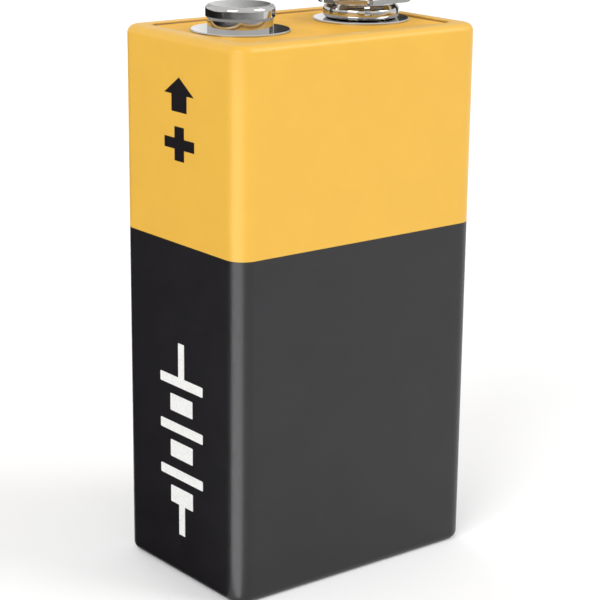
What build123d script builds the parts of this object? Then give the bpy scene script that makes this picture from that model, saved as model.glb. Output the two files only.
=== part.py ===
"""Nine volt battery: six small round cells in a crimped steel jacket, with two snap contacts on top.

Millimetres. The origin is the centre of the foot, +Z is up, and +X runs from the positive contact to
the negative one.
"""

from build123d import *
from math import radians, tan
import os

# The cells: a drawn can with a raised positive end, and a cap sealed into its crimped negative end
can_radius = 3.8
cell_height = 39.0
can_shoulder = 0.5
nub_radius = 1.5
nub_height = 1.0
nub_edge = 0.25
crimp_width = 0.8
crimp_setback = 0.15
seal_width = 0.4
seal_depth = 0.5
sleeve_thickness = 0.1
sleeve_lip = 0.6

# How the cells stand, three along the case and two across it, with small gaps between their sleeves
cells_along = 3
gap_along = 0.2
gap_across = 0.05
end_clearance = 0.3
side_clearance = 0.025

# Case: a folded and crimped jacket under a wrapped film label
jacket_thickness = 0.3
label_thickness = 0.1
inner_corner = 1.2
inner_bend = 0.3
lip_width = 1.6
window_corner = 1.2
jacket_lap = 2.8
jacket_lap_gap = 0.05
jacket_joggle = 0.5
label_lap = 2.5
label_lap_place = -6.5

# The stack from the floor up, between the two crimped lips
bottom_plate = 0.8
bottom_recess = 0.25
card_thickness = 0.3
card_clearance = 0.15
strap_thickness = 0.15
head_space = 3.25
top_plate = 1.8
panel_drop = 0.15
panel_gap = 0.15
panel_edge = 0.12
cover_clearance = 0.1
skirt_wall = 0.8
skirt_chamfer = 0.2
rib_wall = 0.8
lap_clearance = 0.1

# The foot ring of both contacts, and the hollow shanks that rivet them through the lid
foot_radius = 4.1
foot_thickness = 0.2
foot_edge = 0.08
foot_margin = 0.4
shank_radius = 1.45
shank_bore = 0.95
shank_blind = 0.6
shank_clearance = 0.05
tail_radius = 2.2
tail_height = 0.45
tail_edge = 0.2

# Positive contact, a headed stud on a flange
stud_radius = 2.86
stud_land = 0.55
stud_top_edge = 0.4
neck_radius = 2.69
neck_taper = 0.25

# Negative contact, a slotted spring crown on a ring, held by a rivet
cup_rise = 0.6
socket_sheet = 0.2
socket_tight_bend = 0.05
socket_wide_bend = 0.2
throat_radius = 2.72
throat_land = 0.3
waist_depth = 0.33
waist_angle = 45
crown_flats = 7.6
crown_sides = 6
crown_corner = 0.5
crown_edge = 0.12
crown_skirt = 0.5
crown_slot_width = 0.45
crown_slot_foot = 0.3
rivet_head_radius = 2.1
rivet_head_height = 0.25
rivet_head_edge = 0.1

# Welded straps between the cells, and the leads up to the two contacts
strap_width = 3.6
weld_slit_length = 2.0
weld_slit_width = 0.5
lead_width = 3.0
lead_shift = 0.4
lead_pad_radius = 2.6
lead_bend = 0.4
lead_wall_clearance = 0.45
lead_foot_reach = 1.2
lead_slot_clearance = 0.3

# Plan sizes that follow from the cells
shell_thickness = label_thickness + jacket_thickness
sleeve_radius = can_radius + sleeve_thickness
pitch_along = 2 * sleeve_radius + gap_along
pitch_across = 2 * sleeve_radius + gap_across
cavity_length = (cells_along - 1) * pitch_along + 2 * (sleeve_radius + end_clearance)
cavity_width = pitch_across + 2 * (sleeve_radius + side_clearance)
body_length = cavity_length + 2 * shell_thickness
body_width = cavity_width + 2 * shell_thickness
window_length = body_length - 2 * lip_width
window_width = body_width - 2 * lip_width
corner_radius = inner_corner + shell_thickness
rim_radius = inner_bend + shell_thickness

# Heights that follow from the stack
bottom_card_z = shell_thickness + bottom_plate
bottom_strap_z = bottom_card_z + card_thickness
cell_z = bottom_strap_z + strap_thickness
top_strap_z = cell_z + cell_height
top_card_z = top_strap_z + strap_thickness
cover_foot_z = top_card_z + card_thickness
plate_under_z = cover_foot_z + head_space
panel_z = plate_under_z + top_plate
body_height = panel_z + panel_drop
top_lip_z = body_height - shell_thickness

# The two contacts: as far apart as the window allows, and as high as the spring crown
contact_pitch = window_length - 2 * (panel_gap + foot_margin + foot_radius)
tight_radius = socket_sheet + socket_tight_bend
wide_radius = socket_sheet + socket_wide_bend
cup_floor = foot_thickness + socket_sheet
waist_foot = cup_floor + cup_rise
waist_top = waist_foot + waist_depth / tan(radians(waist_angle))
throat_foot = waist_top + wide_radius * tan(radians(waist_angle / 2))
contact_height = throat_foot + throat_land + wide_radius

# Places that follow from them all
lap_x = pitch_along / 2
positive_x = -contact_pitch / 2
negative_x = contact_pitch / 2
hole_radius = shank_radius + shank_clearance
lead_arm_y = cavity_width / 2 - cover_clearance - skirt_wall - lead_wall_clearance
lead_arm_x = contact_pitch / 2 + lead_width / 2 - lead_shift

os.makedirs("parts", exist_ok=True)


def keep(builder, name):
    """Labels a finished piece and writes it."""
    builder.part.label = name
    export_step(builder.part, f"parts/{name}.step")


def turning_plane(x, y, z, upward=True):
    """The plane of a half outline that is turned about the upright line through x and y."""
    return Plane((x, y, z), x_dir=(1, 0, 0), z_dir=(0, -1 if upward else 1, 0))


def upright(x, y):
    """The upright line through x and y."""
    return Axis((x, y, 0), (0, 0, 1))


def case_form(inset):
    """The outside of the label, taken in by an inset all round."""
    with BuildPart() as form:
        with BuildSketch(Plane.XY.offset(inset)):
            RectangleRounded(body_length - 2 * inset, body_width - 2 * inset, corner_radius - inset)
        extrude(amount=body_height - 2 * inset)
        rims = form.faces().filter_by(Axis.Z).edges()
        fillet(rims, radius=rim_radius - inset)
    return form.part


# The case's three nested forms: outside the label, outside the jacket, and the room for the cells
label_outside = case_form(0)
jacket_outside = case_form(label_thickness)
cavity = case_form(shell_thickness)

# The rounded window that the crimped lips leave open, through the whole case
with BuildPart() as window:
    with BuildSketch():
        RectangleRounded(window_length, window_width, window_corner)
    extrude(amount=body_height)

# The room for the jacket's inner flap in what lies against the rear wall
with BuildPart() as lap_relief:
    with BuildSketch():
        with Locations((lap_x, cavity_width / 2)):
            Rectangle(
                jacket_lap + 2 * (jacket_joggle + lap_clearance),
                2 * (jacket_lap_gap + jacket_thickness + lap_clearance),
            )
    extrude(amount=body_height)

# Label: one printed film, wrapped round the jacket and crimped over its rims, with its edge lapped behind
with BuildPart() as label:
    add(label_outside)
    add(jacket_outside, mode=Mode.SUBTRACT)
    add(window.part, mode=Mode.SUBTRACT)
    with BuildSketch(Plane.XY.offset(rim_radius)):
        with Locations((label_lap_place, (body_width + label_thickness) / 2)):
            Rectangle(label_lap, label_thickness)
    extrude(amount=body_height - 2 * rim_radius)
keep(label, "label")

# Jacket: one sheet folded to a tube, joggled and lapped behind, and crimped in at both ends
with BuildPart() as jacket:
    flap_y = cavity_width / 2 - jacket_lap_gap
    seam_x = lap_x - jacket_lap / 2
    add(jacket_outside)
    add(cavity, mode=Mode.SUBTRACT)
    add(window.part, mode=Mode.SUBTRACT)
    with BuildSketch():
        with Locations((seam_x, cavity_width / 2)):
            Rectangle(jacket_lap_gap, jacket_thickness, align=(Align.MIN, Align.MIN))
    extrude(amount=body_height, mode=Mode.SUBTRACT)
    with BuildSketch(Plane.XY.offset(shell_thickness + jacket_lap_gap)):
        with Locations((seam_x - jacket_joggle, flap_y)):
            Rectangle(jacket_joggle + jacket_lap, jacket_thickness, align=(Align.MIN, Align.MAX))
        with Locations((seam_x, flap_y)):
            Rectangle(jacket_joggle, jacket_lap_gap, align=(Align.MAX, Align.MIN))
    extrude(amount=top_lip_z - shell_thickness - 2 * jacket_lap_gap)
keep(jacket, "jacket")

# Bottom cover: a moulded plate whose middle drops into the lower window, short of the floor
with BuildPart() as bottom_cover:
    with BuildSketch(Plane.XY.offset(shell_thickness)):
        RectangleRounded(
            cavity_length - 2 * cover_clearance, cavity_width - 2 * cover_clearance, inner_corner
        )
    extrude(amount=bottom_plate)
    ledge_rim = bottom_cover.faces().sort_by(Axis.Z)[0].edges()
    fillet(ledge_rim, radius=inner_bend)
    with BuildSketch(Plane.XY.offset(bottom_recess)):
        RectangleRounded(
            window_length - 2 * panel_gap, window_width - 2 * panel_gap, window_corner - panel_gap
        )
    extrude(amount=shell_thickness - bottom_recess)
    panel_rim = bottom_cover.faces().sort_by(Axis.Z)[0].edges()
    fillet(panel_rim, radius=panel_edge)
    add(lap_relief.part, mode=Mode.SUBTRACT)
keep(bottom_cover, "bottom_cover")

# Top cover: a moulded lid whose skirt stands on the top card, and whose panel fills the upper window
with BuildPart() as top_cover:
    with BuildSketch(Plane.XY.offset(cover_foot_z)):
        RectangleRounded(
            cavity_length - 2 * cover_clearance, cavity_width - 2 * cover_clearance, inner_corner
        )
    extrude(amount=top_lip_z - cover_foot_z)
    skirt_foot = top_cover.faces().sort_by(Axis.Z)[0].edges()
    chamfer(skirt_foot, length=skirt_chamfer)
    ledge_rim = top_cover.faces().sort_by(Axis.Z)[-1].edges()
    fillet(ledge_rim, radius=inner_bend)
    with BuildSketch(Plane.XY.offset(top_lip_z)):
        RectangleRounded(
            window_length - 2 * panel_gap, window_width - 2 * panel_gap, window_corner - panel_gap
        )
    extrude(amount=panel_z - top_lip_z)
    panel_rim = top_cover.faces().sort_by(Axis.Z)[-1].edges()
    fillet(panel_rim, radius=panel_edge)
    with BuildSketch(Plane.XY.offset(cover_foot_z)):
        wall_inset = 2 * (cover_clearance + skirt_wall)
        RectangleRounded(cavity_length - wall_inset, cavity_width - wall_inset, inner_corner)
        Rectangle(rib_wall, cavity_width, mode=Mode.SUBTRACT)
    extrude(amount=head_space, mode=Mode.SUBTRACT)
    with BuildSketch(Plane.XY.offset(plate_under_z)):
        with Locations((positive_x, 0), (negative_x, 0)):
            Circle(hole_radius)
    extrude(amount=top_plate, mode=Mode.SUBTRACT)
    add(lap_relief.part, mode=Mode.SUBTRACT)
keep(top_cover, "top_cover")

# Insulating cards below and above the cells, the upper one slit for the two leads
with BuildSketch() as card_outline:
    RectangleRounded(cavity_length - 2 * card_clearance, cavity_width - 2 * card_clearance, inner_corner)

with BuildPart() as bottom_card:
    with BuildSketch(Plane.XY.offset(bottom_card_z)):
        add(card_outline.sketch)
    extrude(amount=card_thickness)
    add(lap_relief.part, mode=Mode.SUBTRACT)
keep(bottom_card, "bottom_card")

with BuildPart() as top_card:
    with BuildSketch(Plane.XY.offset(top_card_z)):
        add(card_outline.sketch)
    extrude(amount=card_thickness)
    add(lap_relief.part, mode=Mode.SUBTRACT)
    with BuildSketch(Plane.XY.offset(top_card_z)):
        with Locations((lead_arm_x, lead_arm_y), (-lead_arm_x, -lead_arm_y)):
            Rectangle(lead_width + 2 * lead_slot_clearance, strap_thickness + 2 * lead_slot_clearance)
    extrude(amount=card_thickness, mode=Mode.SUBTRACT)
keep(top_card, "top_card")

# Half outline of a cell standing on its negative end, with plain sloped edges on what repeats unseen
can_top = cell_height - nub_height
seal_radius = can_radius - crimp_width
cap_radius = seal_radius - seal_width
with BuildSketch() as cell_outline:
    with BuildLine():
        Polyline(
            (0, 0),
            (cap_radius, 0),
            (cap_radius, seal_depth),
            (seal_radius, seal_depth),
            (seal_radius, crimp_setback),
            (can_radius, crimp_setback),
            (can_radius, can_top),
            (nub_radius, can_top),
            (nub_radius, cell_height),
            (0, cell_height),
            close=True,
        )
    make_face()
    can_corners = cell_outline.vertices().group_by(Axis.X)[-1]
    chamfer(can_corners, length=can_shoulder)
    nub_corner = cell_outline.vertices().group_by(Axis.Y)[-1].sort_by(Axis.X)[-1]
    chamfer(nub_corner, length=nub_edge)

# Half outline of its shrunk film sleeve, turned in over both ends of the can
with BuildSketch() as sleeve_outline:
    with BuildLine():
        Polyline(
            (seal_radius, crimp_setback),
            (can_radius - can_shoulder, crimp_setback),
            (can_radius, crimp_setback + can_shoulder),
            (can_radius, can_top - can_shoulder),
            (can_radius - can_shoulder, can_top),
            (can_radius - can_shoulder - sleeve_lip, can_top),
        )
        offset(amount=sleeve_thickness, kind=Kind.INTERSECTION, side=Side.RIGHT, closed=True)
    make_face()

# The chain of cells goes up and down, and doubles back from column to column
cell_places = []
for column in range(cells_along):
    x = (column - (cells_along - 1) / 2) * pitch_along
    first_y = -pitch_across / 2 if column % 2 == 0 else pitch_across / 2
    cell_places += [(x, first_y), (x, -first_y)]

for number, (x, y) in enumerate(cell_places, start=1):
    stands_up = number % 2 == 1
    cell_plane = turning_plane(x, y, cell_z if stands_up else top_strap_z, upward=stands_up)
    with BuildPart() as cell:
        with BuildSketch(cell_plane):
            add(cell_outline.sketch)
        revolve(axis=upright(x, y))
    keep(cell, f"cell_{number}")
    with BuildPart() as cell_sleeve:
        with BuildSketch(cell_plane):
            add(sleeve_outline.sketch)
        revolve(axis=upright(x, y))
    keep(cell_sleeve, f"cell_sleeve_{number}")

# Straps: each joins the negative end of one cell to the positive end of the next
for number in range(1, len(cell_places)):
    start, end = (Vector(*place) for place in cell_places[number - 1 : number + 1])
    across = 90 if abs(end.Y - start.Y) > abs(end.X - start.X) else 0
    with BuildPart() as strap:
        with BuildSketch(Plane.XY.offset(bottom_strap_z if number % 2 == 1 else top_strap_z)):
            with Locations((start + end) / 2):
                SlotCenterToCenter((end - start).length, strap_width, rotation=across)
            with Locations(start, end):
                SlotOverall(weld_slit_length, weld_slit_width, rotation=across, mode=Mode.SUBTRACT)
        extrude(amount=strap_thickness)
    keep(strap, f"strap_{number}_{number + 1}")

# Positive lead: a pad under the lid, an arm down beside the skirt, and a foot welded to the first cell
with BuildPart() as positive_lead:
    pad_z = plate_under_z - strap_thickness
    arm_y = lead_arm_y + strap_thickness / 2
    foot_y = cell_places[0][1] + lead_foot_reach
    with BuildSketch(Plane.YZ.offset(-lead_arm_x - lead_width / 2)):
        with BuildLine():
            FilletPolyline(
                (0, plate_under_z),
                (-arm_y, plate_under_z),
                (-arm_y, top_strap_z),
                (foot_y, top_strap_z),
                radius=lead_bend,
            )
            offset(amount=strap_thickness, side=Side.LEFT, closed=True)
        make_face()
    extrude(amount=lead_width)
    with BuildSketch(Plane.XY.offset(pad_z)):
        with Locations((positive_x, 0)):
            Circle(lead_pad_radius)
    extrude(amount=strap_thickness)
    with BuildSketch(Plane.XY.offset(pad_z)):
        with Locations((positive_x, 0)):
            Circle(hole_radius)
    extrude(amount=strap_thickness, mode=Mode.SUBTRACT)
keep(positive_lead, "positive_lead")

# Negative lead: the same strip, turned half round, from the negative contact to the last cell
with BuildPart() as negative_lead:
    add(Rot(0, 0, 180) * positive_lead.part)
keep(negative_lead, "negative_lead")

# Half outline of a hollow shank, from its top under the contact to the end of its blind bore
tail_top = -top_plate - strap_thickness
tail_foot = tail_top - tail_height
shank_points = [
    (shank_radius, tail_top),
    (tail_radius, tail_top),
    (tail_radius, tail_foot + tail_edge),
    (tail_radius - tail_edge, tail_foot),
    (shank_bore, tail_foot),
    (shank_bore, -shank_blind),
    (0, -shank_blind),
]

# Positive contact: one headed stud, riveted through the lid and its lead by its own shank
with BuildPart() as positive_stud:
    land_top = contact_height - stud_top_edge
    land_foot = land_top - stud_land
    with BuildSketch(turning_plane(positive_x, 0, panel_z)):
        with BuildLine():
            Polyline(
                (shank_radius, 0),
                *shank_points,
                (0, contact_height),
                (stud_radius - stud_top_edge, contact_height),
            )
            RadiusArc(
                (stud_radius - stud_top_edge, contact_height), (stud_radius, land_top), stud_top_edge
            )
            Polyline(
                (stud_radius, land_top),
                (stud_radius, land_foot),
                (neck_radius, land_foot - neck_taper),
                (neck_radius, foot_thickness),
                (foot_radius - foot_edge, foot_thickness),
                (foot_radius, foot_thickness - foot_edge),
                (foot_radius, 0),
                (shank_radius, 0),
            )
        make_face()
    revolve(axis=upright(positive_x, 0))
keep(positive_stud, "positive_stud")

# Ring: a plain washer under the negative contact
with BuildPart() as negative_ring:
    with BuildSketch(Plane.XY.offset(panel_z)):
        with Locations((negative_x, 0)):
            Circle(foot_radius)
            Circle(hole_radius, mode=Mode.SUBTRACT)
    extrude(amount=foot_thickness)
    ring_rim = negative_ring.edges().group_by(Axis.Z)[-1].sort_by(SortBy.LENGTH)[-1]
    chamfer(ring_rim, length=foot_edge)
keep(negative_ring, "negative_ring")

# Negative contact: a spring cup with a narrow throat, flared to a crown and slotted at its corners
with BuildPart() as negative_socket:
    cup_radius = throat_radius + waist_depth
    with BuildSketch(turning_plane(negative_x, 0, panel_z)):
        with BuildLine():
            FilletPolyline(
                (hole_radius, cup_floor),
                (cup_radius, cup_floor),
                (cup_radius, waist_foot),
                (throat_radius, waist_top),
                (throat_radius, contact_height),
                (crown_flats, contact_height),
                radius=[tight_radius, tight_radius, wide_radius, wide_radius],
            )
            offset(amount=socket_sheet, side=Side.RIGHT, closed=True)
        make_face()
    revolve(axis=upright(negative_x, 0))
    with BuildSketch(Plane.XY.offset(panel_z)) as crown_outline:
        with Locations((negative_x, 0)):
            crown = RegularPolygon(crown_flats / 2, crown_sides, major_radius=False)
        fillet(crown.vertices(), radius=crown_corner)
    extrude(amount=contact_height, mode=Mode.INTERSECT)
    crown_rim = negative_socket.faces().sort_by(Axis.Z)[-1].outer_wire().edges()
    fillet(crown_rim, radius=crown_edge)
    with BuildSketch(Plane.XY.offset(panel_z + contact_height - crown_skirt)):
        add(crown_outline.sketch_local)
        offset(amount=-socket_sheet, mode=Mode.SUBTRACT)
    extrude(amount=crown_skirt - socket_sheet)
    with BuildSketch(Plane.XY.offset(panel_z + cup_floor + crown_slot_foot)):
        with Locations((negative_x, 0)):
            with PolarLocations(crown_flats / 2, crown_sides):
                Rectangle(crown_flats, crown_slot_width)
    extrude(amount=contact_height, mode=Mode.SUBTRACT)
keep(negative_socket, "negative_socket")

# Rivet: clamps the negative contact, its ring, the lid and the lead together
with BuildPart() as negative_rivet:
    head_top = cup_floor + rivet_head_height
    with BuildSketch(turning_plane(negative_x, 0, panel_z)):
        with BuildLine():
            Polyline(
                (shank_radius, cup_floor),
                *shank_points,
                (0, head_top),
                (rivet_head_radius - rivet_head_edge, head_top),
                (rivet_head_radius, head_top - rivet_head_edge),
                (rivet_head_radius, cup_floor),
                close=True,
            )
        make_face()
    revolve(axis=upright(negative_x, 0))
keep(negative_rivet, "negative_rivet")
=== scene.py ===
"""Looks of a nine volt battery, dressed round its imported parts.

A printed film in two fields of colour is wrapped round the steel jacket and crimped over its rims.
Marks in ink stand on one narrow side, and a moulded lid carries the two nickel contacts.
Lengths are metres, in the frame of the parts: the foot is at z = 0, and +Z is up.
"""

from math import atan2, cos, pi, radians, sin

import bpy
from bpy.props import FloatProperty, FloatVectorProperty, PointerProperty
from mathutils import Matrix, Vector


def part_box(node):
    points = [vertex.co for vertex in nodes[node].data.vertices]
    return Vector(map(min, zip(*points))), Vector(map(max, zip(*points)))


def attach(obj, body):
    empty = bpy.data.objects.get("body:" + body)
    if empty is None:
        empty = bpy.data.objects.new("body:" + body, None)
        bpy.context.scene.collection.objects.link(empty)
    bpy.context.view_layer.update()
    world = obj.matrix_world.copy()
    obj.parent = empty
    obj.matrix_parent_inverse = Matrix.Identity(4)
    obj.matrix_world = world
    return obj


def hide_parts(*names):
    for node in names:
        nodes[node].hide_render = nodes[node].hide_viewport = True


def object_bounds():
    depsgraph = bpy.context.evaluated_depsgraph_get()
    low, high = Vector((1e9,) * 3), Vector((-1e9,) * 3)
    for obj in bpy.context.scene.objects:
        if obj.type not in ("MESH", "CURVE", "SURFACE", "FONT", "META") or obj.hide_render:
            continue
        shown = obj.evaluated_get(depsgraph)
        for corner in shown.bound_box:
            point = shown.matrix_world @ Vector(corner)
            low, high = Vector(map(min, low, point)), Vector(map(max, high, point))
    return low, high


bl_info = {
    "name": "Nine Volt Battery",
    "version": (1, 0, 0),
    "blender": (4, 5, 0),
    "location": "View3D > Sidebar > Battery",
    "description": "Dresses the parts of a nine volt battery: label, marks, lid, contacts and inside",
    "category": "Add Mesh",
}

MM = 0.001
WHITE = (1.0, 1.0, 1.0, 1.0)

# The studio cards lie this far above the floor, so that the two never share a plane.
CARD_LIFT = 0.1 * MM

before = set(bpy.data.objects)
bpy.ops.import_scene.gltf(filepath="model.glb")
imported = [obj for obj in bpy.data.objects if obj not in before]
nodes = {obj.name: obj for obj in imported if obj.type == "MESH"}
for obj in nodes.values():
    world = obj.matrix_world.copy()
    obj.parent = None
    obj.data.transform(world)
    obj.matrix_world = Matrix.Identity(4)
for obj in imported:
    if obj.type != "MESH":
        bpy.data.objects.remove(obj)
cad_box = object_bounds()
case_low, case_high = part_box("jacket")


def length(name, description, default, low=0.0, high=1.0):
    """A length in metres that a user may change."""
    return FloatProperty(
        name=name,
        description=description,
        default=default,
        min=low,
        max=high,
        precision=5,
        subtype="DISTANCE",
        unit="LENGTH",
    )


def angle(name, description, degrees):
    """An angle that a user may change, given in degrees."""
    return FloatProperty(
        name=name, description=description, default=radians(degrees), subtype="ANGLE", unit="ROTATION"
    )


def share(name, description, default, high=1.0):
    """A number from nothing to one, or to a stated top."""
    return FloatProperty(name=name, description=description, default=default, min=0.0, max=high)


def colour(name, description, default):
    """A linear colour."""
    return FloatVectorProperty(
        name=name, description=description, default=default, min=0.0, max=1.0, size=3, subtype="COLOR"
    )


class LabelSettings(bpy.types.PropertyGroup):
    """The printed film round the case."""

    film: length("Film", "Thickness of the film", 0.1 * MM)
    border: length("Colour border", "Height at which the two fields of colour meet", 29.3 * MM)
    corner: length("Corner", "Radius of the four upright corners", 1.6 * MM)
    bend: length("Rim bend", "Radius of the crimped rims", 0.7 * MM)
    lip: length("Lip", "Width of the crimped lips from the side to the window", 1.6 * MM)
    window_corner: length("Window corner", "Corner radius of the window in a lip", 1.2 * MM)
    lap_place: length("Lap place", "Where the middle of the rear lap stands along X", -6.5 * MM, -1.0)
    lap: length("Lap", "Width of the rear lap", 2.5 * MM)
    lap_edge: length("Lap edge", "Run of the lap's free edge", 0.03 * MM)
    lap_slope: length("Lap slope", "Run of the lap's soft side", 0.35 * MM)
    gather: length("Gathers", "Height of the small gathers on the crimped corners", 0.03 * MM)
    upper: colour("Upper colour", "Print above the border", (0.80, 0.455, 0.052))
    lower: colour("Lower colour", "Print below the border", (0.0118, 0.0105, 0.0122))


class MarkSettings(bpy.types.PropertyGroup):
    """Ink marks on the narrow side below the positive contact."""

    ink: length("Ink", "How far the ink stands on the film", 0.015 * MM)
    dark: colour("Dark ink", "Ink of the arrow and the plus sign", (0.006, 0.0045, 0.0065))
    light: colour("Light ink", "Ink of the cell sign", (0.84, 0.84, 0.82))


class CoverSettings(bpy.types.PropertyGroup):
    """The moulded covers and the steel jacket."""

    lid: colour("Lid", "Plastic of the lid", (0.845, 0.447, 0.033))
    foot: colour("Bottom cover", "Plastic of the bottom cover", (0.018, 0.018, 0.02))
    jacket: colour("Jacket", "Tinned steel of the jacket", (0.56, 0.56, 0.55))


class ContactSettings(bpy.types.PropertyGroup):
    """Plated metal of the two contacts."""

    nickel: colour("Nickel", "Plating of the contacts", (0.50, 0.495, 0.485))
    roughness: share("Roughness", "Roughness of the plating", 0.07)


class InsideSettings(bpy.types.PropertyGroup):
    """What the sealed case holds."""

    can: colour("Cans", "Steel of the cells", (0.53, 0.53, 0.52))
    sleeve: colour("Sleeves", "Shrunk film round the cells", (0.05, 0.13, 0.24))
    strip: colour("Strips", "Nickel of the straps and leads", (0.62, 0.61, 0.58))
    card: colour("Cards", "Pressed card above and below the cells", (0.42, 0.36, 0.27))


class StageSettings(bpy.types.PropertyGroup):
    """Camera, floor, lamps and world."""

    azimuth: angle("Azimuth", "Turn of the camera round the part", -38.33)
    elevation: angle("Elevation", "Camera above the horizon", 15.87)
    roll: angle("Roll", "Turn of the picture", 0.62)
    distance: length("Distance", "Camera to its target", 165.52 * MM)
    lens: FloatProperty(name="Lens", description="Focal length", default=115.01, min=1.0, unit="CAMERA")
    target: FloatVectorProperty(
        name="Target",
        description="What the camera looks at",
        default=(0.1 * MM, 0.0, 22.4 * MM),
        subtype="TRANSLATION",
        unit="LENGTH",
    )
    floor: length("Floor", "Side of the floor", 1.6)
    world: share("World", "Level of the plain world light", 0.64, 5.0)
    key: share("Key lamp", "Level of the lamp on the wide side", 0.36, 5.0)
    front: share("Front lamp", "Level of the lamp on the narrow side", 0.42, 5.0)
    rear: share("Rear lamp", "Level of the lamp on the rear side", 0.22, 5.0)


def settings(name):
    """One group of this scene's settings."""
    return getattr(bpy.context.scene, "battery_" + name)


class Finish:
    """A procedural finish: nodes that lead to one Principled shader."""

    def __init__(self, name, base, roughness, metallic=0.0, ior=1.46):
        self.material = bpy.data.materials.new(name)
        self.material.use_nodes = True
        self.material.diffuse_color = (*base, 1.0)
        self.tree = self.material.node_tree
        self.shader = next(node for node in self.tree.nodes if node.type == "BSDF_PRINCIPLED")
        self.set(Base_Color=(*base, 1.0), Roughness=roughness, Metallic=metallic, IOR=ior)
        self.place = self.tree.nodes.new("ShaderNodeTexCoord").outputs["Object"]
        self.relief = None

    def set(self, **values):
        """Uniform values on the shader's own sockets, by name with underscores for spaces."""
        for name, value in values.items():
            self.shader.inputs[name.replace("_", " ")].default_value = value

    def node(self, kind, **values):
        """A new node with some of its own settings."""
        made = self.tree.nodes.new(kind)
        for name, value in values.items():
            setattr(made, name, value)
        return made

    def link(self, source, target):
        self.tree.links.new(source, target)

    def noise(self, size, detail=2.0, place=None):
        """Noise from 0 to 1 whose spots are about one size, in metres."""
        made = self.node("ShaderNodeTexNoise")
        made.inputs["Scale"].default_value = 1.0 / size
        made.inputs["Detail"].default_value = detail
        self.link(place or self.place, made.inputs["Vector"])
        return made.outputs["Fac"]

    def scaled(self, by, shift=(0.0, 0.0, 0.0)):
        """The place on the part, each axis scaled and shifted: a small scale draws noise out."""
        made = self.node("ShaderNodeVectorMath", operation="MULTIPLY_ADD")
        self.link(self.place, made.inputs[0])
        made.inputs[1].default_value = by
        made.inputs[2].default_value = shift
        return made.outputs["Vector"]

    def spread(self, source, low=0.0, high=1.0, low_in=0.3, high_in=0.7):
        """A number carried from one range to another, with soft ends."""
        made = self.node("ShaderNodeMapRange", interpolation_type="SMOOTHSTEP")
        self.link(source, made.inputs["Value"])
        made.inputs["From Min"].default_value = low_in
        made.inputs["From Max"].default_value = high_in
        made.inputs["To Min"].default_value = low
        made.inputs["To Max"].default_value = high
        return made.outputs["Result"]

    def tone(self, source, base, darker, lighter, **reach):
        """Lets the colour wander between a darker and a lighter tint of the base."""
        made = self.node("ShaderNodeMix", data_type="RGBA")
        ends = [socket for socket in made.inputs if socket.type == "RGBA"]
        for socket, by in zip(ends, (darker, lighter)):
            socket.default_value = (*(min(1.0, channel * by) for channel in base), 1.0)
        self.link(self.spread(source, **reach), made.inputs["Factor"])
        result = next(socket for socket in made.outputs if socket.type == "RGBA")
        self.link(result, self.shader.inputs["Base Color"])

    def roughness(self, source, low, high):
        """Lets the roughness wander between two values."""
        self.link(self.spread(source, low, high), self.shader.inputs["Roughness"])

    def bump(self, height, depth, strength):
        """Relief of a real depth in metres, on top of what is there."""
        made = self.node("ShaderNodeBump")
        made.inputs["Strength"].default_value = strength
        made.inputs["Distance"].default_value = depth
        self.link(height, made.inputs["Height"])
        if self.relief:
            self.link(self.relief, made.inputs["Normal"])
        self.relief = made.outputs["Normal"]
        self.link(self.relief, self.shader.inputs["Normal"])


def printed_film(name, base, unevenness):
    """Satin printed film: faint unevenness of the print, orange peel, and a soft sheen."""
    finish = Finish(name, base, roughness=0.36)
    mottle = finish.noise(3.2 * MM, detail=3.0)
    grain = finish.noise(0.28 * MM)
    finish.tone(mottle, base, 1 - unevenness, 1 + unevenness, low_in=0.35, high_in=0.65)
    finish.roughness(grain, 0.31, 0.41)
    finish.bump(mottle, depth=0.012 * MM, strength=0.3)
    finish.bump(grain, depth=0.004 * MM, strength=0.4)
    return finish.material


def moulded_plastic(name, base):
    """Moulded plastic with a fine spark-eroded grain."""
    finish = Finish(name, base, roughness=0.5, ior=1.5)
    finish.set(Specular_IOR_Level=0.2)
    cloud = finish.noise(2.5 * MM, detail=3.0)
    grain = finish.noise(0.16 * MM, detail=3.0)
    finish.tone(cloud, base, 0.95, 1.04)
    finish.roughness(grain, 0.43, 0.57)
    finish.bump(grain, depth=0.012 * MM, strength=0.6)
    return finish.material


def turned_nickel(name, centre):
    """Bright nickel over a turned or drawn form, with fine rings round an upright centre line."""
    chosen = settings("contacts")
    base = tuple(chosen.nickel)
    finish = Finish(name, base, chosen.roughness, metallic=1.0)
    across = finish.scaled((1.0, 1.0, 0.0), shift=(-centre.x, -centre.y, 0.0))
    radius = finish.node("ShaderNodeVectorMath", operation="LENGTH")
    finish.link(across, radius.inputs[0])
    upright = finish.node("ShaderNodeSeparateXYZ")
    finish.link(finish.place, upright.inputs["Vector"])
    ring_place = finish.node("ShaderNodeCombineXYZ")
    finish.link(radius.outputs["Value"], ring_place.inputs["X"])
    finish.link(upright.outputs["Z"], ring_place.inputs["Y"])
    rings = finish.noise(0.3 * MM, detail=1.0, place=ring_place.outputs["Vector"])
    haze = finish.noise(0.9 * MM, detail=3.0)
    finish.tone(haze, base, 0.96, 1.03)
    finish.roughness(haze, chosen.roughness - 0.01, chosen.roughness + 0.02)
    finish.bump(rings, depth=0.001 * MM, strength=0.4)
    return finish.material


def rolled_metal(name, base, roughness, grain_scale):
    """Sheet metal with fine lines, drawn out along the axis of the small scale."""
    finish = Finish(name, base, roughness, metallic=1.0)
    lines = finish.noise(0.12 * MM, detail=3.0, place=finish.scaled(grain_scale))
    haze = finish.noise(3.0 * MM, detail=3.0)
    finish.tone(haze, base, 0.9, 1.06)
    finish.roughness(lines, roughness - 0.06, roughness + 0.08)
    finish.bump(lines, depth=0.004 * MM, strength=0.5)
    return finish.material


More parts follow.
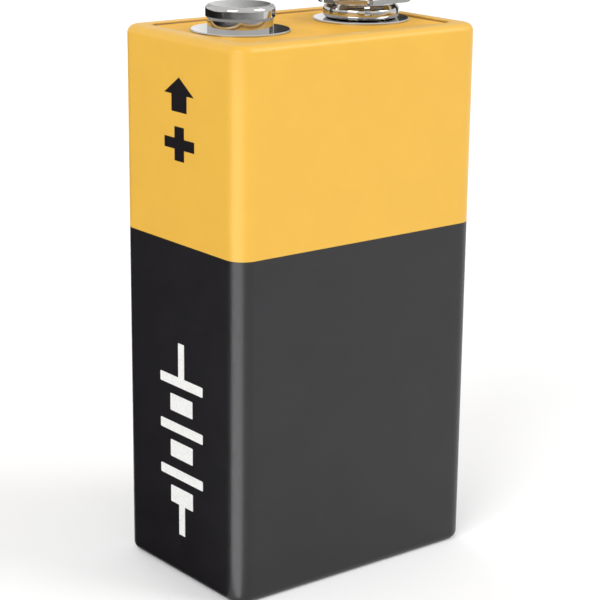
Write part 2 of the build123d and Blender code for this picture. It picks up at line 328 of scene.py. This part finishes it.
def pressed_card(name, base):
    """Pressed fibre card, with short fibres in the sheet."""
    finish = Finish(name, base, roughness=0.85)
    fibres = finish.noise(0.35 * MM, detail=4.0, place=finish.scaled((1.0, 0.35, 1.0)))
    finish.tone(fibres, base, 0.84, 1.1)
    finish.bump(fibres, depth=0.03 * MM, strength=0.5)
    return finish.material


def shrunk_film(name, base):
    """Thin shrunk sleeve film, with faint rings where it drew tight."""
    finish = Finish(name, base, roughness=0.28)
    rings = finish.noise(0.9 * MM, place=finish.scaled((0.15, 0.15, 1.0)))
    finish.tone(rings, base, 0.9, 1.08)
    finish.roughness(rings, 0.22, 0.36)
    finish.bump(rings, depth=0.02 * MM, strength=0.4)
    return finish.material


def printing_ink(name, base, roughness):
    """Printing ink with a slightly uneven body."""
    finish = Finish(name, base, roughness)
    finish.set(Specular_IOR_Level=0.3)
    speck = finish.noise(0.22 * MM, detail=3.0)
    finish.tone(speck, base, 0.93, 1.04, high_in=0.75)
    finish.roughness(speck, roughness - 0.05, roughness + 0.08)
    finish.bump(speck, depth=0.005 * MM, strength=0.4)
    return finish.material


def dress(names, material):
    """Gives carried-over nodes a finish in their own slots."""
    for name in names:
        slots = nodes[name].data.materials
        if not slots:
            slots.append(material)
        for index in range(len(slots)):
            slots[index] = material


def piece_from(name, points, faces, materials, smooth=True, fields=None):
    """A new mesh piece that rides with the part. Fields give each face its material's number."""
    mesh = bpy.data.meshes.new(name)
    mesh.from_pydata(points, [], faces)
    for material in materials:
        mesh.materials.append(material)
    for polygon in mesh.polygons:
        polygon.use_smooth = smooth
    if fields:
        mesh.polygons.foreach_set("material_index", fields)
    mesh.update()
    piece = bpy.data.objects.new(name, mesh)
    bpy.context.scene.collection.objects.link(piece)
    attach(piece, "root")
    return piece


class RoundedLoop:
    """Places round a rounded rectangle, counted the same way at every size."""

    corner_steps = 12
    long_steps = 44
    short_steps = 24

    def __init__(self, extra_rear):
        """Extra_rear are further places on the rear side, as shares of its straight stretch."""
        self.front = [step / self.long_steps for step in range(self.long_steps)]
        self.rear = sorted({*self.front, *extra_rear})
        self.side = [step / self.short_steps for step in range(self.short_steps)]

    def places(self, half_x, half_y, radius):
        """Each place as (x, y, outward x, outward y, corner share or None), anticlockwise from above."""
        straight_x = half_x - radius
        straight_y = half_y - radius
        sides = (
            (self.side, (half_x, -straight_y), (0.0, 2 * straight_y), (1.0, 0.0)),
            (self.rear, (straight_x, half_y), (-2 * straight_x, 0.0), (0.0, 1.0)),
            (self.side, (-half_x, straight_y), (0.0, -2 * straight_y), (-1.0, 0.0)),
            (self.front, (-straight_x, -half_y), (2 * straight_x, 0.0), (0.0, -1.0)),
        )
        found = []
        for shares, start, run, outward in sides:
            for part in shares:
                found.append((start[0] + part * run[0], start[1] + part * run[1], *outward, None))
            centre_x = start[0] + run[0] - radius * outward[0]
            centre_y = start[1] + run[1] - radius * outward[1]
            first = atan2(outward[1], outward[0])
            for step in range(self.corner_steps):
                part = step / self.corner_steps
                out_x, out_y = cos(first + part * pi / 2), sin(first + part * pi / 2)
                found.append((centre_x + radius * out_x, centre_y + radius * out_y, out_x, out_y, part))
        return found


def label_stations(chosen, height):
    """Rows of the film from the upper window's edge to the lower one's, and the row of the border.

    Each row is (inset, z, outward share, upward share, corner radius, lip share). The lip share is
    1 at the window's edge and 0 from the rim's bend on.
    """
    lip_steps = 5
    bend_steps = 8
    upper_rows = 7
    lower_rows = 15
    bend = chosen.bend
    stations = []
    for step in range(lip_steps):
        part = step / lip_steps
        inset = chosen.lip + part * (bend - chosen.lip)
        radius = chosen.window_corner + part * (chosen.corner - bend - chosen.window_corner)
        stations.append((inset, height, 0.0, 1.0, radius, 1 - part))
    for step in range(bend_steps + 1):
        turn = step / bend_steps * pi / 2
        inset = bend * (1 - sin(turn))
        z = height - bend * (1 - cos(turn))
        stations.append((inset, z, sin(turn), cos(turn), chosen.corner - inset, 0.0))
    mirrored = [
        (inset, height - z, outward, -upward, radius, lip)
        for inset, z, outward, upward, radius, lip in reversed(stations)
    ]
    for step in range(1, upper_rows + 1):
        z = height - bend - step / upper_rows * (height - bend - chosen.border)
        stations.append((0.0, z, 1.0, 0.0, chosen.corner, 0.0))
    border_row = len(stations) - 1
    for step in range(1, lower_rows):
        z = chosen.border - step / lower_rows * (chosen.border - bend)
        stations.append((0.0, z, 1.0, 0.0, chosen.corner, 0.0))
    return stations + mirrored, border_row


class BATTERY_OT_label(bpy.types.Operator):
    """Wraps the printed film round the jacket, over its rims and lapped behind"""

    bl_idname = "battery.label"
    bl_label = "Label"

    def execute(self, context):
        chosen = settings("label")
        stations, border_row = label_stations(chosen, case_high.z + chosen.film)
        outer, inner = self.skins(chosen, stations)
        faces, fields = self.faces(len(stations), len(outer) // len(stations), border_row)
        upper = printed_film("amber_film", tuple(chosen.upper), unevenness=0.012)
        lower = printed_film("charcoal_film", tuple(chosen.lower), unevenness=0.08)
        piece = piece_from("label_film", outer + inner, faces, (upper, lower), fields=fields)
        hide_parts("label")
        return {"FINISHED"}

    def skins(self, chosen, stations):
        """Points of the film's outer and inner skin, the outer raised at the lap and the gathers."""
        film = chosen.film
        half_x = case_high.x + film
        half_y = case_high.y + film
        straight_x = half_x - chosen.corner
        free_edge = chosen.lap_place + chosen.lap / 2
        under_edge = chosen.lap_place - chosen.lap / 2
        edge, slope = chosen.lap_edge, chosen.lap_slope
        steps = (free_edge, free_edge - edge, under_edge, under_edge - slope / 2, under_edge - slope)
        loop = RoundedLoop([(straight_x - x) / (2 * straight_x) for x in steps])
        gathers = 3
        outer, inner = [], []
        for inset, z, outward, upward, radius, lip in stations:
            for x, y, out_x, out_y, corner in loop.places(half_x - inset, half_y - inset, radius):
                lift = 0.0
                if corner is not None:
                    ripple = (1 - cos(corner * gathers * 2 * pi)) / 2
                    swell = (1 - cos(lip * pi)) / 2
                    lift = chosen.gather * ripple * swell * upward
                elif out_y > 0:
                    full_x = x * straight_x / (half_x - inset - radius)
                    rise = (free_edge - full_x) / edge
                    fall = (full_x - under_edge + slope) / slope
                    lift = film * outward**2 * max(0.0, min(1.0, rise, fall))
                base = Vector((x, y, z))
                normal = Vector((out_x * outward, out_y * outward, upward))
                outer.append(base + normal * lift)
                inner.append(base - normal * film)
        return outer, inner

    def faces(self, rows, count, border_row):
        """Faces of both skins and of the two window edges, with each face's field of colour."""
        upper_field, lower_field = 0, 1
        inner = rows * count
        faces, fields = [], []
        for row in range(rows - 1):
            field = upper_field if row < border_row else lower_field
            for place in range(count):
                a, b = row * count + place, row * count + (place + 1) % count
                c, d = a + count, b + count
                faces += [(a, c, d, b), (inner + a, inner + b, inner + d, inner + c)]
                fields += [field, field]
        for row, field in ((0, upper_field), (rows - 1, lower_field)):
            for place in range(count):
                a, b = row * count + place, row * count + (place + 1) % count
                quad = (a, b, inner + b, inner + a)
                faces.append(quad[::-1] if row else quad)
                fields.append(field)
        return faces, fields


def ink_patch(name, outlines, material):
    """Thin plates of ink on the narrow side at low X, from outlines in (y, z) that run clockwise."""
    sink = 0.004 * MM
    film_x = case_low.x - settings("label").film
    sunk_x, proud_x = film_x + sink, film_x - settings("marks").ink
    points, faces = [], []
    for outline in outlines:
        first, count = len(points), len(outline)
        points += [(x, y, z) for x in (sunk_x, proud_x) for y, z in outline]
        back = [first + i for i in range(count)]
        front = [first + count + i for i in range(count)]
        for i in range(count):
            j = (i + 1) % count
            faces.append((back[i], back[j], front[j], front[i]))
        faces += [front, back[::-1]]
    piece = piece_from(name, points, faces, (material,), smooth=False)


def rounded_bar(middle_y, middle_z, wide, high, radius):
    """A bar with rounded corners, clockwise in (y, z)."""
    steps = 5
    outline = []
    for side_y, side_z, start in ((1, 1, 0.0), (-1, 1, pi / 2), (-1, -1, pi), (1, -1, 1.5 * pi)):
        centre_y = middle_y + side_y * (wide / 2 - radius)
        centre_z = middle_z + side_z * (high / 2 - radius)
        for step in range(steps + 1):
            turn = start + step / steps * pi / 2
            outline.append((centre_y + radius * cos(turn), centre_z + radius * sin(turn)))
    return outline[::-1]


def square_bar(middle_y, low_z, high_z, wide):
    """A bar with square corners, clockwise in (y, z)."""
    low_y, high_y = middle_y - wide / 2, middle_y + wide / 2
    return [(high_y, low_z), (low_y, low_z), (low_y, high_z), (high_y, high_z)]


class BATTERY_OT_marks(bpy.types.Operator):
    """Prints an arrow, a plus sign and a cell sign on the narrow side"""

    bl_idname = "battery.marks"
    bl_label = "Marks"

    def execute(self, context):
        chosen = settings("marks")
        dark = printing_ink("dark_ink", tuple(chosen.dark), roughness=0.42)
        light = printing_ink("light_ink", tuple(chosen.light), roughness=0.45)
        ink_patch("arrow_mark", [self.arrow()], dark)
        ink_patch("plus_mark", [self.plus()], dark)
        ink_patch("cell_sign", self.cell_sign(), light)
        return {"FINISHED"}

    def arrow(self):
        """An arrow that points up to the positive contact."""
        middle_y = -0.25 * MM
        tip_z = 42.95 * MM
        barb_z = 41.55 * MM
        foot_z = 40.15 * MM
        barb = 2.05 * MM
        stem = 1.05 * MM
        half = [(barb, barb_z), (stem, barb_z), (stem, foot_z)]
        right = [(middle_y + y, z) for y, z in half]
        left = [(middle_y - y, z) for y, z in reversed(half)]
        return [(middle_y, tip_z), *right, *left]

    def plus(self):
        """A plus sign, drawn wider than it is high."""
        middle_y = -0.25 * MM
        middle_z = 37.55 * MM
        span, rise = 4.15 * MM / 2, 2.8 * MM / 2
        upright, level = 1.32 * MM / 2, 0.9 * MM / 2
        half = [
            (upright, level),
            (span, level),
            (span, -level),
            (upright, -level),
            (upright, -rise),
            (-upright, -rise),
        ]
        outline = half + [(-y, -z) for y, z in half]
        return [(middle_y + y, middle_z + z) for y, z in outline]

    def cell_sign(self):
        """The drawing sign of a battery: wires above and below pairs of long and short plates."""
        middle_y = -0.3 * MM
        low_z = 3.8 * MM
        high_z = 20.8 * MM
        pairs = 3
        pair_pitch = 4.1 * MM
        plate_gap = 1.95 * MM
        long_plate = 6.1 * MM
        short_plate = 3.2 * MM
        thin = 0.85 * MM
        thick = 1.5 * MM
        wire = 0.85 * MM
        corner = 0.1 * MM
        first_z = (low_z + high_z) / 2 - (pairs - 1) / 2 * pair_pitch - plate_gap / 2
        last_z = first_z + (pairs - 1) * pair_pitch + plate_gap
        bars = []
        for number in range(pairs):
            short_z = first_z + number * pair_pitch
            bars.append(rounded_bar(middle_y, short_z, short_plate, thick, corner))
            bars.append(rounded_bar(middle_y, short_z + plate_gap, long_plate, thin, corner))
        bars.append(square_bar(middle_y, low_z, first_z - thick / 2, wire))
        bars.append(square_bar(middle_y, last_z + thin / 2, high_z, wire))
        return bars


class BATTERY_OT_covers(bpy.types.Operator):
    """Gives the lid, the bottom cover and the jacket their finishes"""

    bl_idname = "battery.covers"
    bl_label = "Covers and jacket"

    def execute(self, context):
        chosen = settings("covers")
        upright = (1.0, 1.0, 0.05)
        steel = rolled_metal("tinned_steel", tuple(chosen.jacket), roughness=0.34, grain_scale=upright)
        dress(["top_cover"], moulded_plastic("amber_plastic", tuple(chosen.lid)))
        dress(["bottom_cover"], moulded_plastic("black_plastic", tuple(chosen.foot)))
        dress(["jacket"], steel)
        return {"FINISHED"}


class BATTERY_OT_contacts(bpy.types.Operator):
    """Plates the two contacts, with turning rings round each centre line"""

    bl_idname = "battery.contacts"
    bl_label = "Contacts"

    def execute(self, context):
        for finish, names in (
            ("positive_nickel", ["positive_stud"]),
            ("negative_nickel", ["negative_socket", "negative_ring", "negative_rivet"]),
        ):
            low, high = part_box(names[-1])
            dress(names, turned_nickel(finish, (low + high) / 2))
        return {"FINISHED"}


class BATTERY_OT_inside(bpy.types.Operator):
    """Finishes the cells, sleeves, straps, leads and cards inside the case"""

    bl_idname = "battery.inside"
    bl_label = "Inside"

    def execute(self, context):
        chosen = settings("inside")
        upright = (1.0, 1.0, 0.04)
        lengthwise = (0.05, 1.0, 1.0)
        sleeves = [name for name in nodes if name.startswith("cell_sleeve")]
        cells = [name for name in nodes if name.startswith("cell_") and name not in sleeves]
        strips = [name for name in nodes if name.startswith("strap_") or name.endswith("_lead")]
        cards = [name for name in nodes if name.endswith("_card")]
        if not (sleeves and cells and strips and cards):
            raise RuntimeError("the frame lacks cells, sleeves, straps or cards")
        steel = rolled_metal("can_steel", tuple(chosen.can), roughness=0.28, grain_scale=upright)
        nickel = rolled_metal("nickel_strip", tuple(chosen.strip), roughness=0.3, grain_scale=lengthwise)
        dress(cells, steel)
        dress(sleeves, shrunk_film("sleeve_film", tuple(chosen.sleeve)))
        dress(strips, nickel)
        dress(cards, pressed_card("fibre_card", tuple(chosen.card)))
        return {"FINISHED"}


def facing(azimuth, elevation=0.0):
    """The direction out to an azimuth and elevation in radians. Azimuth 0 faces the wide side."""
    level = cos(elevation)
    return Vector((sin(azimuth) * level, -cos(azimuth) * level, sin(elevation)))


def spaced(first, last, steps):
    """Evenly spaced numbers from the first to the last."""
    return [first + (last - first) * step / steps for step in range(steps + 1)]


def seen_rays(tree):
    """One for rays that show a background, straight, mirrored or through glass, nought for light."""
    path = tree.nodes.new("ShaderNodeLightPath")
    last = path.outputs["Is Camera Ray"]
    for name in ("Is Glossy Ray", "Is Transmission Ray"):
        either = tree.nodes.new("ShaderNodeMath")
        either.operation = "MAXIMUM"
        tree.links.new(last, either.inputs[0])
        tree.links.new(path.outputs[name], either.inputs[1])
        last = either.outputs["Value"]
    return last


class BATTERY_OT_stage(bpy.types.Operator):
    """Sets the camera, a pale floor, soft lamps, studio cards and a plain world"""

    bl_idname = "battery.stage"
    bl_label = "Stage"

    def execute(self, context):
        chosen = settings("stage")
        scene = context.scene
        scene.view_settings.view_transform = "Standard"
        self.camera(scene, chosen)
        self.floor(scene, chosen)
        self.world(scene, chosen)
        self.lamps(scene, chosen)
        self.corner_strip(scene)
        self.dark_cloth(scene)
        self.low_wall(scene)
        self.rear_cards(scene)
        return {"FINISHED"}

    def camera(self, scene, chosen):
        """A camera that looks at its target from a turn, a height and a distance."""
        data = bpy.data.cameras.new("camera")
        data.sensor_width = 36.0
        data.lens = chosen.lens
        data.clip_start = 0.01
        data.clip_end = 5.0
        camera = bpy.data.objects.new("camera", data)
        scene.collection.objects.link(camera)
        back = facing(chosen.azimuth, chosen.elevation)
        right = Vector((cos(chosen.azimuth), sin(chosen.azimuth), 0.0))
        up = back.cross(right)
        level = cos(chosen.roll) * right + sin(chosen.roll) * up
        upright = cos(chosen.roll) * up - sin(chosen.roll) * right
        place = Vector(chosen.target) + back * chosen.distance
        axes = Matrix((level, upright, back)).transposed()
        camera.matrix_world = Matrix.Translation(place) @ axes.to_4x4()
        scene.camera = camera

    def floor(self, scene, chosen):
        """A pale floor that glows a little for the eye, and keeps the shadow."""
        glow_level = 0.12
        half = chosen.floor / 2
        corners = [(-half, -half, 0.0), (half, -half, 0.0), (half, half, 0.0), (-half, half, 0.0)]
        mesh = bpy.data.meshes.new("floor")
        mesh.from_pydata(corners, [], [(0, 1, 2, 3)])
        finish = Finish("pale_floor", (0.93, 0.93, 0.93), roughness=0.9)
        finish.set(Specular_IOR_Level=0.1, Emission_Color=WHITE)
        glow = finish.node("ShaderNodeMath", operation="MULTIPLY")
        glow.inputs[1].default_value = glow_level
        finish.link(seen_rays(finish.tree), glow.inputs[0])
        finish.link(glow.outputs["Value"], finish.shader.inputs["Emission Strength"])
        mesh.materials.append(finish.material)
        floor = bpy.data.objects.new("floor", mesh)
        scene.collection.objects.link(floor)

    def world(self, scene, chosen):
        """Plain light from all round, in front of a white background."""
        world = bpy.data.worlds.new("plain_world")
        scene.world = world
        world.use_nodes = True
        tree = world.node_tree
        tree.nodes.clear()
        output = tree.nodes.new("ShaderNodeOutputWorld")
        mix = tree.nodes.new("ShaderNodeMixShader")
        tree.links.new(seen_rays(tree), mix.inputs["Fac"])
        lighting, seen = mix.inputs[1], mix.inputs[2]
        seen_level = 1.0
        for shader, strength in ((lighting, chosen.world), (seen, seen_level)):
            background = tree.nodes.new("ShaderNodeBackground")
            background.inputs["Color"].default_value = WHITE
            background.inputs["Strength"].default_value = strength
            tree.links.new(background.outputs["Background"], shader)
        tree.links.new(mix.outputs["Shader"], output.inputs["Surface"])

    def lamps(self, scene, chosen):
        """Lamps on the wide and the narrow side, and a weak one behind that no mirror image shows."""
        self.lamp(scene, "key", azimuth=42.0, elevation=38.0, level=chosen.key)
        self.lamp(scene, "front", azimuth=-66.0, elevation=32.0, level=chosen.front)
        rear = self.lamp(scene, "rear", azimuth=165.0, elevation=14.0, level=chosen.rear)
        rear.visible_glossy = False

    def lamp(self, scene, name, azimuth, elevation, level):
        """A square soft lamp that lights what faces it at a plain level."""
        distance = 2.0
        data = bpy.data.lights.new(name, "AREA")
        data.shape = "SQUARE"
        data.size = 1.0
        data.energy = level * (pi * distance) ** 2
        lamp = bpy.data.objects.new(name, data)
        scene.collection.objects.link(lamp)
        back = facing(radians(azimuth), radians(elevation))
        lamp.location = (cad_box[0] + cad_box[1]) / 2 + back * distance
        lamp.rotation_mode = "QUATERNION"
        lamp.rotation_quaternion = back.to_track_quat("Z", "Y")
        return lamp

    def card(self, scene, name, points, faces, levels):
        """A studio card that only mirror images show, with a level of light at each point."""
        mesh = bpy.data.meshes.new(name)
        mesh.from_pydata(points, [], faces)
        mesh.attributes.new("level", "FLOAT", "POINT").data.foreach_set("value", levels)
        finish = Finish(name + "_sheet", (0.0, 0.0, 0.0), roughness=1.0)
        finish.set(Specular_IOR_Level=0.0, Emission_Color=WHITE)
        level = finish.node("ShaderNodeAttribute", attribute_name="level")
        finish.link(level.outputs["Fac"], finish.shader.inputs["Emission Strength"])
        mesh.materials.append(finish.material)
        card = bpy.data.objects.new(name, mesh)
        scene.collection.objects.link(card)
        card.visible_camera = False
        card.visible_diffuse = False
        card.visible_transmission = False
        card.visible_volume_scatter = False
        card.visible_shadow = False

    def flat_card(self, scene, name, outline, level):
        """A card just above the floor, from places in (x, y), at one level of light."""
        points = [(x, y, CARD_LIFT) for x, y in outline]
        self.card(scene, name, points, [tuple(range(len(points)))], [level] * len(points))

    def standing_card(self, scene, name, line, low_z, high_z, levels):
        """A card that stands along a line of places, with a level of light at each place."""
        points = [(place.x, place.y, z) for z in (low_z, high_z) for place in line]
        count = len(line)
        faces = [(i, i + 1, count + i + 1, count + i) for i in range(count - 1)]
        self.card(scene, name, points, faces, levels * 2)

    def corner_strip(self, scene):
        """A bright fan on the floor, for the band of light down the near corner."""
        film = settings("label").film
        corner = Vector((case_low.x - film, case_low.y - film))
        reach = 0.28
        rim = [corner + facing(radians(turn)).xy * reach for turn in spaced(-106.0, -34.0, 8)]
        self.flat_card(scene, "corner_strip", [corner, *rim], level=4.6)

    def dark_cloth(self, scene):
        """A dark cloth on the floor, so that the narrow side mirrors no bright floor."""
        film = settings("label").film
        case_x = case_low.x - film
        front_y, rear_y = case_low.y - film, case_high.y + film
        gap, past_case = 0.002, 0.02
        spread, rear_lean, front_lean = 0.30, 0.06, 0.05
        outline = [
            (case_x, front_y + gap),
            (case_x, rear_y + past_case),
            (case_x + rear_lean, rear_y + spread),
            (case_x - spread, rear_y + spread),
            (case_x - spread, front_y + front_lean),
        ]
        self.flat_card(scene, "dark_cloth", outline, level=0.0)

    def low_wall(self, scene):
        """A low curved wall, for the fall from dark to light across the sides of the contacts."""
        reach, high = 0.31, 0.055
        last_turn, fade_turn = 44.0, -140.0
        dark, light = 0.02, 0.75
        turns = spaced(-205.0, last_turn, 24)
        line = [facing(radians(turn)) * reach for turn in turns]
        fades = [max(0.0, (turn - fade_turn) / (last_turn - fade_turn)) for turn in turns]
        levels = [dark + (light - dark) * fade**2 for fade in fades]
        self.standing_card(scene, "low_wall", line, CARD_LIFT, CARD_LIFT + high, levels)

    def rear_cards(self, scene):
        """Two cards behind that each fall from light to dark, for the flat tops of the contacts."""
        turn, reach, half = radians(141.7), 0.8, 0.55
        low_z, high_z = 0.02, 0.62
        wide, fade, ease = 0.06, 0.048, 0.01
        light, dark, plain = 1.3, 0.05, 0.7
        left = [(-half, plain), (-wide - ease, plain), (-wide, light), (-wide + fade, dark), (0.0, dark)]
        right = [(0.0, light), (fade, dark), (wide, dark), (wide + ease, plain), (half, plain)]
        for name, stops in (("rear_left_card", left), ("rear_right_card", right)):
            line = [facing(turn) * reach - facing(turn + pi / 2) * place for place, _ in stops]
            levels = [level for _, level in stops]
            self.standing_card(scene, name, line, low_z, high_z, levels)


class BATTERY_PT_panel(bpy.types.Panel):
    """Lists the steps that dress the battery"""

    bl_idname = "BATTERY_PT_panel"
    bl_label = "Nine Volt Battery"
    bl_space_type = "VIEW_3D"
    bl_region_type = "UI"
    bl_category = "Battery"

    def draw(self, context):
        for name in SETTINGS:
            box = self.layout.box()
            group = settings(name)
            box.label(text=name.capitalize())
            for key in group.__annotations__:
                box.prop(group, key)
        for operator in OPERATORS:
            self.layout.operator(operator.bl_idname)


SETTINGS = {
    "label": LabelSettings,
    "marks": MarkSettings,
    "covers": CoverSettings,
    "contacts": ContactSettings,
    "inside": InsideSettings,
    "stage": StageSettings,
}
OPERATORS = (
    BATTERY_OT_label,
    BATTERY_OT_marks,
    BATTERY_OT_covers,
    BATTERY_OT_contacts,
    BATTERY_OT_inside,
    BATTERY_OT_stage,
)
CLASSES = (*SETTINGS.values(), *OPERATORS, BATTERY_PT_panel)


def register():
    for entry in CLASSES:
        bpy.utils.register_class(entry)
    for name, group in SETTINGS.items():
        setattr(bpy.types.Scene, "battery_" + name, PointerProperty(type=group))


def unregister():
    for name in SETTINGS:
        delattr(bpy.types.Scene, "battery_" + name)
    for entry in reversed(CLASSES):
        bpy.utils.unregister_class(entry)


def main():
    """Dresses the part."""
    register()
    bpy.ops.battery.label()
    bpy.ops.battery.marks()
    bpy.ops.battery.covers()
    bpy.ops.battery.contacts()
    bpy.ops.battery.inside()
    bpy.ops.battery.stage()


if __name__ == "__main__":
    main()
